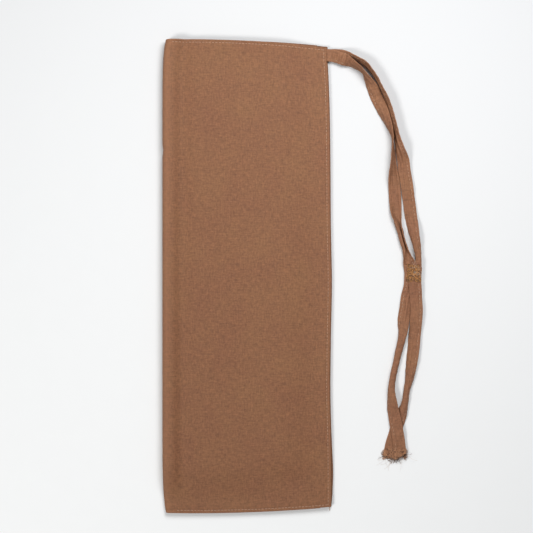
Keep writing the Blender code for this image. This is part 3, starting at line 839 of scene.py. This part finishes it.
class Tape:
    """A flat tape along its route. `creases` are lengthwise folds: (place across from -1 to 1,
    drift, height, width, first and last distance along). `cut` is the slant of its two ends."""

    SIDES = (-1.0, -0.97, *(k * 0.09 - 0.9 for k in range(21)), 0.97, 1.0)
    STEPS = 9
    CUT_REACH = 0.022  # how far from an end its slant is felt

    def __init__(self, route, creases, seed, edge_side, gathered_to=0.0, cut=(0.0, 0.0)):
        self.creases, self.gathered_to, self.cut = creases, gathered_to, cut
        self.phase = random.Random(seed).uniform(0, 6.28)
        self.stitch_line = edge_side * (1 - 0.0023 / (TAPE_WIDTH / 2))
        rows = catmull_rom(route, self.STEPS)
        flat = [Vector((row[0], row[1], 0)) for row in rows]
        self.along, self.frames, travelled = [], [], 0.0
        for k, (x, y, roll, lift, cup) in enumerate(rows):
            ahead = (flat[min(k + 1, len(flat) - 1)] - flat[max(k - 1, 0)]).normalized()
            left = Vector((-ahead.y, ahead.x, 0))
            angle = math.radians(roll)
            across = left * math.cos(angle) + Vector((0, 0, math.sin(angle)))
            normal = -left * math.sin(angle) + Vector((0, 0, math.cos(angle)))
            if k:
                travelled += (flat[k] - flat[k - 1]).length
            frame = [flat[k], across, normal, ahead, math.radians(cup)]
            lowest = min(self.section(frame, travelled, u, side).z
                         for u in self.SIDES for side in (-1, 1))
            frame[0] = Vector((x, y, max(lift, FLOOR_GAP) - lowest))
            self.along.append(travelled)
            self.frames.append(frame)
        self.length = travelled

    def wrinkle(self, s, u):
        """How far the tape's middle layer is pushed up at a distance along and a place across."""
        height = 0.0
        for at, drift, size, width, first, last in self.creases:
            strength = ease((s - first) / 0.012) * ease((last - s) / 0.012)
            middle = at + drift * math.sin(s * 38 + self.phase + at * 5)
            height += size * strength * bell(u - middle, width)
        height += 0.00009 * math.sin(s * 410 + u * 2.2 + self.phase)
        height += 0.00008 * math.sin(s * 950 - u * 3.1 + 2 * self.phase) * (0.4 + u * u)
        if self.gathered_to:
            near = ease((self.gathered_to - s) / 0.010) * ease((s - 0.009) / 0.006)
            height += 0.00040 * near * math.sin(s * 1500 + u * 2.8) * (1 - 0.5 * u * u)
        return height

    def section(self, frame, s, u, side):
        """A point of a section on the tape's upper (+1) or lower (-1) side."""
        centre, across, normal, _, cup = frame
        half = TAPE_WIDTH / 2 * (1 + 0.012 * math.sin(s * 330 + u))
        turn = cup * u
        if abs(cup) > 1e-4:
            out, up = half * math.sin(turn) / cup, half * (1 - math.cos(turn)) / cup
        else:
            out, up = half * u, 0.0
        facing = normal * math.cos(turn) - across * math.sin(turn)
        thick = TAPE / 2 * math.sqrt(max(1 - abs(u) ** 7, 0.0)) + 0.00005
        stitched = 0.00014 * bell(u - self.stitch_line, 0.08)
        rolled = 0.00010 * bell(abs(u) - 0.88, 0.07)
        return centre + across * out + normal * up + facing * (
            self.wrinkle(s, u) + side * (thick - stitched + rolled)
        )

    def surface(self, s, u, side):
        """A point of the tape at a distance along it, past its ends too."""
        near_start = max(1 - s / self.CUT_REACH, 0) * self.cut[0]
        near_end = max(1 - (self.length - s) / self.CUT_REACH, 0) * self.cut[1]
        s += u * (near_start + near_end)
        k = max(min(bisect.bisect_right(self.along, s) - 1, len(self.along) - 2), 0)
        t = (s - self.along[k]) / (self.along[k + 1] - self.along[k])
        here, there = self.frames[k], self.frames[k + 1]
        frame = [a + (b - a) * t for a, b in zip(here, there)]
        for axis in frame[1:4]:
            axis.normalize()
        return self.section(frame, s, u, side)

    def middle(self, s, u=0.0):
        return (self.surface(s, u, 1) + self.surface(s, u, -1)) / 2

    def build(self, name, material):
        upper, lower = self.SIDES, self.SIDES[-2:0:-1]
        ring = [(u, 1) for u in upper] + [(u, -1) for u in lower]
        points = [self.surface(s, u, side) for s in self.along for u, side in ring]
        flat = [(u * TAPE_WIDTH / 2 + (0.02 if side < 0 else 0), s)
                for s in self.along for u, side in ring]
        size, faces = len(ring), []
        for k in range(len(self.along) - 1):
            for i in range(size):
                j = (i + 1) % size
                faces.append((k * size + i, k * size + j, (k + 1) * size + j, (k + 1) * size + i))
        faces.append(list(range(size))[::-1])
        faces.append([(len(self.along) - 1) * size + i for i in range(size)])
        tape = add_mesh(name, points, faces, material)
        write_flat(tape, flat)
        wear_highlight_layer = tape.data.attributes.new("wear_and_highlight", "FLOAT", "POINT")
        wear_highlight_layer.data.foreach_set(
            "value", [ease((abs(u) - 0.82) / 0.16) for _ in self.along for u, _ in ring]
        )
        make_active(tape)
        bpy.ops.object.mode_set(mode="EDIT")
        bpy.ops.mesh.select_all(action="SELECT")
        bpy.ops.mesh.normals_make_consistent(inside=False)
        bpy.ops.object.mode_set(mode="OBJECT")
        return tape

    def stitch_places(self, first, last, seed):
        """One line of stitches on both sides, some of them sunk out of sight."""
        rng = random.Random(seed)
        places, s, step = [], first, 0.0006
        while s < last:
            u = self.stitch_line + rng.uniform(-0.03, 0.03)
            for side in (1, -1):
                here = self.surface(s, u, side)
                up = (here - self.surface(s, u, -side)).normalized()
                ahead = self.surface(s + step, u, side) - self.surface(s - step, u, side)
                sunk = rng.choice((0.00004, 0.00004, -0.00002, -0.00016))
                places.append((here + up * sunk, ahead, up))
            s += STITCH_PITCH * rng.uniform(0.94, 1.06)
        return places


def threads(name, paths, radius, material):
    """Loose threads, each a thin round curve, as one mesh."""
    curve = bpy.data.curves.new(name, "CURVE")
    curve.dimensions = "3D"
    curve.bevel_depth, curve.bevel_resolution = radius, 1
    curve.resolution_u, curve.use_fill_caps = 4, True
    for path in paths:
        spline = curve.splines.new("BEZIER")
        spline.bezier_points.add(len(path) - 1)
        for knot, at in zip(spline.bezier_points, path):
            knot.co = at
            knot.handle_left_type = knot.handle_right_type = "AUTO"
    obj = bpy.data.objects.new(name, curve)
    bpy.context.collection.objects.link(obj)
    curve.materials.append(material)
    make_active(obj)
    bpy.ops.object.convert(target="MESH")
    made = bpy.context.active_object
    made.data.name = name
    made.data.shade_smooth()
    return made


def frayed(tape, at_start, count, reach, seed, curl=1.0, drop=0.0012):
    """Paths of the fibres that hang out of a tape's raw end, some of them curling back."""
    rng = random.Random(seed)
    s = 0.0 if at_start else tape.length
    ahead = tape.frames[0 if at_start else -1][3] * (-1 if at_start else 1)
    left = Vector((-ahead.y, ahead.x, 0))
    paths = []
    for n in range(count):
        root = tape.middle(s, -0.97 + 1.94 * (n + rng.random()) / count)
        long = reach * rng.uniform(0.3, 1.0)
        bend, lean = rng.uniform(-1, 1) * curl, rng.uniform(-0.5, 0.5)
        height = root.z + rng.uniform(-0.0004, 0.0009)
        path = [root - ahead * 0.0012]
        for step in (0.25, 0.5, 0.75, 1.0):
            turn = lean + bend * step * 3.0
            at = path[-1] + (ahead * math.cos(turn) + left * math.sin(turn)) * long * 0.3
            at.z = max(height - drop * step, 0.0002)
            path.append(at)
        paths.append(path)
    return paths


def loops_on(ground, corners, count, size, seed, rise=0.0006):
    """Paths of little loops of thread strewn over a four-cornered patch."""
    rng = random.Random(seed)
    a, b, c, d = (Vector((*corner, 0)) for corner in corners)
    paths = []
    for _ in range(count):
        across, along = rng.random(), rng.random()
        centre = (a.lerp(b, across)).lerp(d.lerp(c, across), along)
        start, sweep = rng.uniform(0, 6.28), rng.uniform(1.6, 4.6) * rng.choice((-1, 1))
        wide, tall = size * rng.uniform(0.4, 1.0), size * rng.uniform(0.35, 0.9)
        slant = rng.uniform(0, 3.14)
        path = []
        for step in range(6):
            angle = start + sweep * step / 5
            x, y = wide * math.cos(angle), tall * math.sin(angle)
            at = centre + Vector((x * math.cos(slant) - y * math.sin(slant),
                                  x * math.sin(slant) + y * math.cos(slant), 0))
            at.z = ground(at.x, at.y) + rise * math.sin(math.pi * step / 5) + 0.00014
            path.append(at)
        paths.append(path)
    return paths


def ground_under(objects):
    """A function that gives the height of the topmost of some objects at an X and Y."""
    trees = [BVHTree.FromPolygons([v.co for v in obj.data.vertices],
                                  [list(p.vertices) for p in obj.data.polygons])
             for obj in objects]

    def height(x, y):
        top = 0.0
        for tree in trees:
            hit = tree.ray_cast(Vector((x, y, 0.05)), Vector((0, 0, -1)))[0]
            if hit:
                top = max(top, hit.z)
        return top

    return height


# ---------------------------------------------------------------- build

weave, mottle = make_weave_group(), make_mottle_group()
cloth = make_cloth_material(
    "brown_cloth", (0.216, 0.092, 0.042), (0.200, 0.086, 0.039), weave, mottle, 0.00016
)
tape_cloth = make_cloth_material(
    "brown_tape", (0.252, 0.112, 0.056), (0.224, 0.099, 0.049), weave, mottle, 0.00026
)
thread = make_thread_material("tan_thread", (0.44, 0.28, 0.19), (0.30, 0.17, 0.11))
red_thread = make_thread_material("reddish_thread", (0.30, 0.13, 0.07), (0.16, 0.06, 0.03))
gold_thread = make_thread_material("golden_thread", (0.62, 0.29, 0.085), (0.26, 0.105, 0.03))
# Dark fibre: the loose fibres at the raw ends, and painted shade where darker loops fill the gaps
# among frayed loops.
fibre_and_gap_shade = make_thread_material("loose_fibre_and_gap_shade", (0.15, 0.07, 0.04), (0.06, 0.025, 0.015))
loop_fibre = make_thread_material("frayed_fibre", (0.54, 0.27, 0.14), (0.24, 0.11, 0.055))
pale_fibre = make_thread_material("pale_fibre", (0.62, 0.50, 0.42), (0.40, 0.29, 0.22))

camera_data = bpy.data.cameras.new("camera")
camera = bpy.data.objects.new("camera", camera_data)
bpy.context.collection.objects.link(camera)
VIEW_HEIGHT, VIEW_WIDTH = 1.30, 0.462
camera.location = (0.0165, 0.0087, VIEW_HEIGHT)
camera_data.sensor_width = 36.0
camera_data.lens = 36.0 * (VIEW_HEIGHT - 0.004) / VIEW_WIDTH
camera_data.clip_start, camera_data.clip_end = 0.01, 50.0
bpy.context.scene.camera = camera

# Tapes
stitch = make_stitch(thread, 0.0023, 0.00050, 0.00034)
small_stitch = make_stitch(thread, 0.0020, 0.00044, 0.00032)
tapes = {
    "front_upper": Tape(FRONT_UPPER, (
        (0.40, 0.12, 0.00078, 0.093, 0.024, 0.060), (-0.30, 0.10, 0.00070, 0.081, 0.030, 0.085),
        (0.10, 0.20, 0.00070, 0.074, 0.055, 0.150), (-0.50, 0.10, 0.00070, 0.074, 0.100, 0.200),
        (0.10, 0.10, 0.00070, 0.068, 0.110, 0.205), (0.55, 0.08, 0.00062, 0.062, 0.090, 0.235)),
        3, edge_side=-1, gathered_to=0.036),
    "back_upper": Tape(BACK_UPPER, (
        (0.10, 0.15, 0.00085, 0.087, 0.030, 0.150), (-0.45, 0.10, 0.00070, 0.074, 0.070, 0.170),
        (0.35, 0.10, 0.00078, 0.068, 0.110, 0.215), (-0.15, 0.12, 0.00070, 0.068, 0.130, 0.225),
        (-0.60, 0.06, 0.00062, 0.062, 0.140, 0.235)),
        5, edge_side=1),
    "front_lower": Tape(FRONT_LOWER, (
        (0.30, 0.12, 0.00078, 0.074, 0.002, 0.070), (-0.35, 0.10, 0.00070, 0.074, 0.004, 0.085),
        (0.00, 0.15, 0.00093, 0.074, 0.050, 0.120), (0.40, 0.08, 0.00062, 0.074, 0.115, 0.164),
        (-0.35, 0.10, 0.00070, 0.074, 0.115, 0.168)),
        7, edge_side=-1, cut=(0.0010, -0.0022)),
    "back_lower": Tape(BACK_LOWER, (
        (-0.25, 0.12, 0.00078, 0.068, 0.003, 0.090), (0.35, 0.10, 0.00070, 0.068, 0.004, 0.110),
        (0.05, 0.12, 0.00078, 0.074, 0.050, 0.135), (-0.60, 0.06, 0.00054, 0.062, 0.010, 0.100)),
        11, edge_side=1, cut=(-0.0042, 0.0004)),
}
RAW_END = ((-0.0050, -0.1500), (0.0050, -0.1500), (0.0052, -0.1584), (-0.0052, -0.1584))
made_tapes = {name: tape.build(f"tie_tape_{name}", tape_cloth) for name, tape in tapes.items()}
over_tapes = ground_under(made_tapes.values())
carried = {}
for name, tape in tapes.items():
    upper = name.endswith("upper")
    piece = made_tapes[name]
    seam = sew(f"tie_stitches_{name}", small_stitch,
               tape.stitch_places(0.014 if upper else 0.003, tape.length - 0.003, name))
    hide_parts(f"tie_{name}")
    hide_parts(f"tie_{name}_thread")
    on_it = [seam]
    if upper:
        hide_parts(f"tie_root_{name.split('_')[0]}")
    else:
        paths = frayed(tape, False, 64, 0.0058, name, 1.4)
        on_it.append(threads(f"frayed_end_{name}", paths, 0.00013, fibre_and_gap_shade))
        end_x = tape.frames[-1][0].x
        raw_end = [(end_x + x, y) for x, y in RAW_END]
        for kind, count, size, letter, radius, material in (
            ("frayed_loops", 90, 0.0015, "m", 0.00017, loop_fibre),
            # The darker loops are painted shade for the gaps among the frayed loops.
            ("gap_shade_loops", 22, 0.0014, "d", 0.00016, fibre_and_gap_shade),
        ):
            paths = loops_on(over_tapes, raw_end, count, size, name + letter)
            on_it.append(threads(f"{kind}_{name}", paths, radius, material))
        paths = frayed(tape, False, 9, 0.0115, name + "e", 0.5)
        on_it.append(threads(f"loose_fibres_{name}", paths, 0.00005, pale_fibre))
    for part in [piece, *on_it]:
        if upper:
            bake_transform(part)
        else:
            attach(part, "ties")
    carried[name] = on_it

# Frayed threads and stitching over the laps
rng = random.Random(21)
crossing = []
for k in range(11):
    y = 0.0120 - 0.0014 * k
    for x0, x1, slope in ((0.1418, 0.1500, 0.0028), (0.1500, 0.1418, 0.0028)):
        path = []
        for t in (0.0, 0.33, 0.66, 1.0):
            x = x0 + (x1 - x0) * t + rng.uniform(-0.0003, 0.0003)
            at = y + slope * (t - 0.5) + rng.uniform(-0.0004, 0.0004)
            path.append(Vector((x, at, over_tapes(x, at) + 0.00006)))
        crossing.append(path)
for x in (0.1388, 0.1404, 0.1421, 0.1436, 0.1452, 0.1467, 0.1482, 0.1496):
    path = []
    for k in range(11):
        at = 0.0012 - 0.0017 * k
        side = x + rng.uniform(-0.0002, 0.0002)
        path.append(Vector((side, at, over_tapes(side, at) + (0.00012 if k % 2 else -0.0001))))
    crossing.append(path)
lap = threads("lap_stitching_threads", crossing, 0.00016, red_thread)
over_lap = ((0.1392, 0.0104), (0.1490, 0.0092), (0.1502, -0.0046), (0.1382, -0.0034))
beside_lap = ((0.1436, 0.0142), (0.1496, 0.0126), (0.1500, -0.0006), (0.1440, 0.0004))
golden = threads("lap_frayed_loops", loops_on(over_tapes, over_lap, 280, 0.0010, 31), 0.00016,
                 gold_thread)
# Darker loops among the golden ones are painted shade for the gaps between them.
dark = threads("lap_gap_shade_loops", loops_on(over_tapes, over_lap, 190, 0.0010, 32), 0.00014, fibre_and_gap_shade)
pale = threads("lap_loose_fibres", [
    *loops_on(over_tapes, beside_lap, 26, 0.0022, 33, 0.0009),
    *frayed(tapes["back_lower"], True, 16, 0.0034, "lap", 1.2, 0.0002),
], 0.00006, pale_fibre)
for piece in (lap, golden, dark, pale):
    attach(piece, "ties")
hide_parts("lap_stitching")
carried["back_lower"] += [lap, golden, dark, pale]

for name, tape in tapes.items():
    steps = [tape.length * k / 200 for k in range(201)]
    line = [tuple(tape.middle(s)) for s in steps]

# Sleeve
sleeve = make_sleeve(cloth)
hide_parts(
    "front_panel", "back_panel", "front_side_allowance", "back_side_allowance",
    "front_bottom_allowance", "back_bottom_allowance", "front_mouth_hem", "back_mouth_hem",
)
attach(sleeve, "case")
sew_sleeve(stitch)

tail_at = Vector((seam_edge(0) - 0.0013, -CASE_LENGTH / 2 + BOTTOM_SLOPE, 0))
tail = threads("seam_thread_tail", [
    [tail_at + Vector(step) for step in (
        (0, 0.0012, 0.0030), (0.0001, -0.0004, 0.0026), (0.0005, -0.0018, 0.0016),
        (0.0002, -0.0036, 0.0007))],
    [tail_at + Vector(step) for step in (
        (0.0001, 0.0010, 0.0028), (0, -0.0006, 0.0022), (-0.0003, -0.0016, 0.0012),
        (0.0001, -0.0027, 0.0006))],
], 0.00017, thread)
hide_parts("thread_tail")
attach(tail, "case")

for made in (stitch, small_stitch):
    bpy.data.objects.remove(made)

# Floor and light
deselect()
bpy.ops.mesh.primitive_plane_add(size=6.0, location=(0, 0, -0.0001))
floor = bpy.context.active_object
floor.name = "floor"
bpy.ops.object.transform_apply(location=True, rotation=True, scale=True)
floor.data.materials.append(make_floor_material())


def add_light(name, location, size, watts, colour=(1, 1, 1)):
    light = bpy.data.lights.new(name, "AREA")
    light.shape, light.size, light.energy, light.color = "DISK", size, watts, colour
    obj = bpy.data.objects.new(name, light)
    bpy.context.collection.objects.link(obj)
    obj.location = location
    obj.rotation_euler = (-Vector(location)).to_track_quat("-Z", "Y").to_euler()
    obj.visible_camera = False
    return obj


add_light("key", (-1.60, -1.00, 2.35), 0.90, 49.0, (1.0, 0.985, 0.965))
add_light("over_mouth", (0.23, 0.45, 0.66), 0.50, 6.3)
world = bpy.data.worlds.new("studio")
world.use_nodes = True
world.node_tree.nodes["Background"].inputs["Color"].default_value = (0.95, 0.97, 1.0, 1)
world.node_tree.nodes["Background"].inputs["Strength"].default_value = 0.24
bpy.context.scene.world = world
bpy.context.scene.view_settings.view_transform = "Standard"
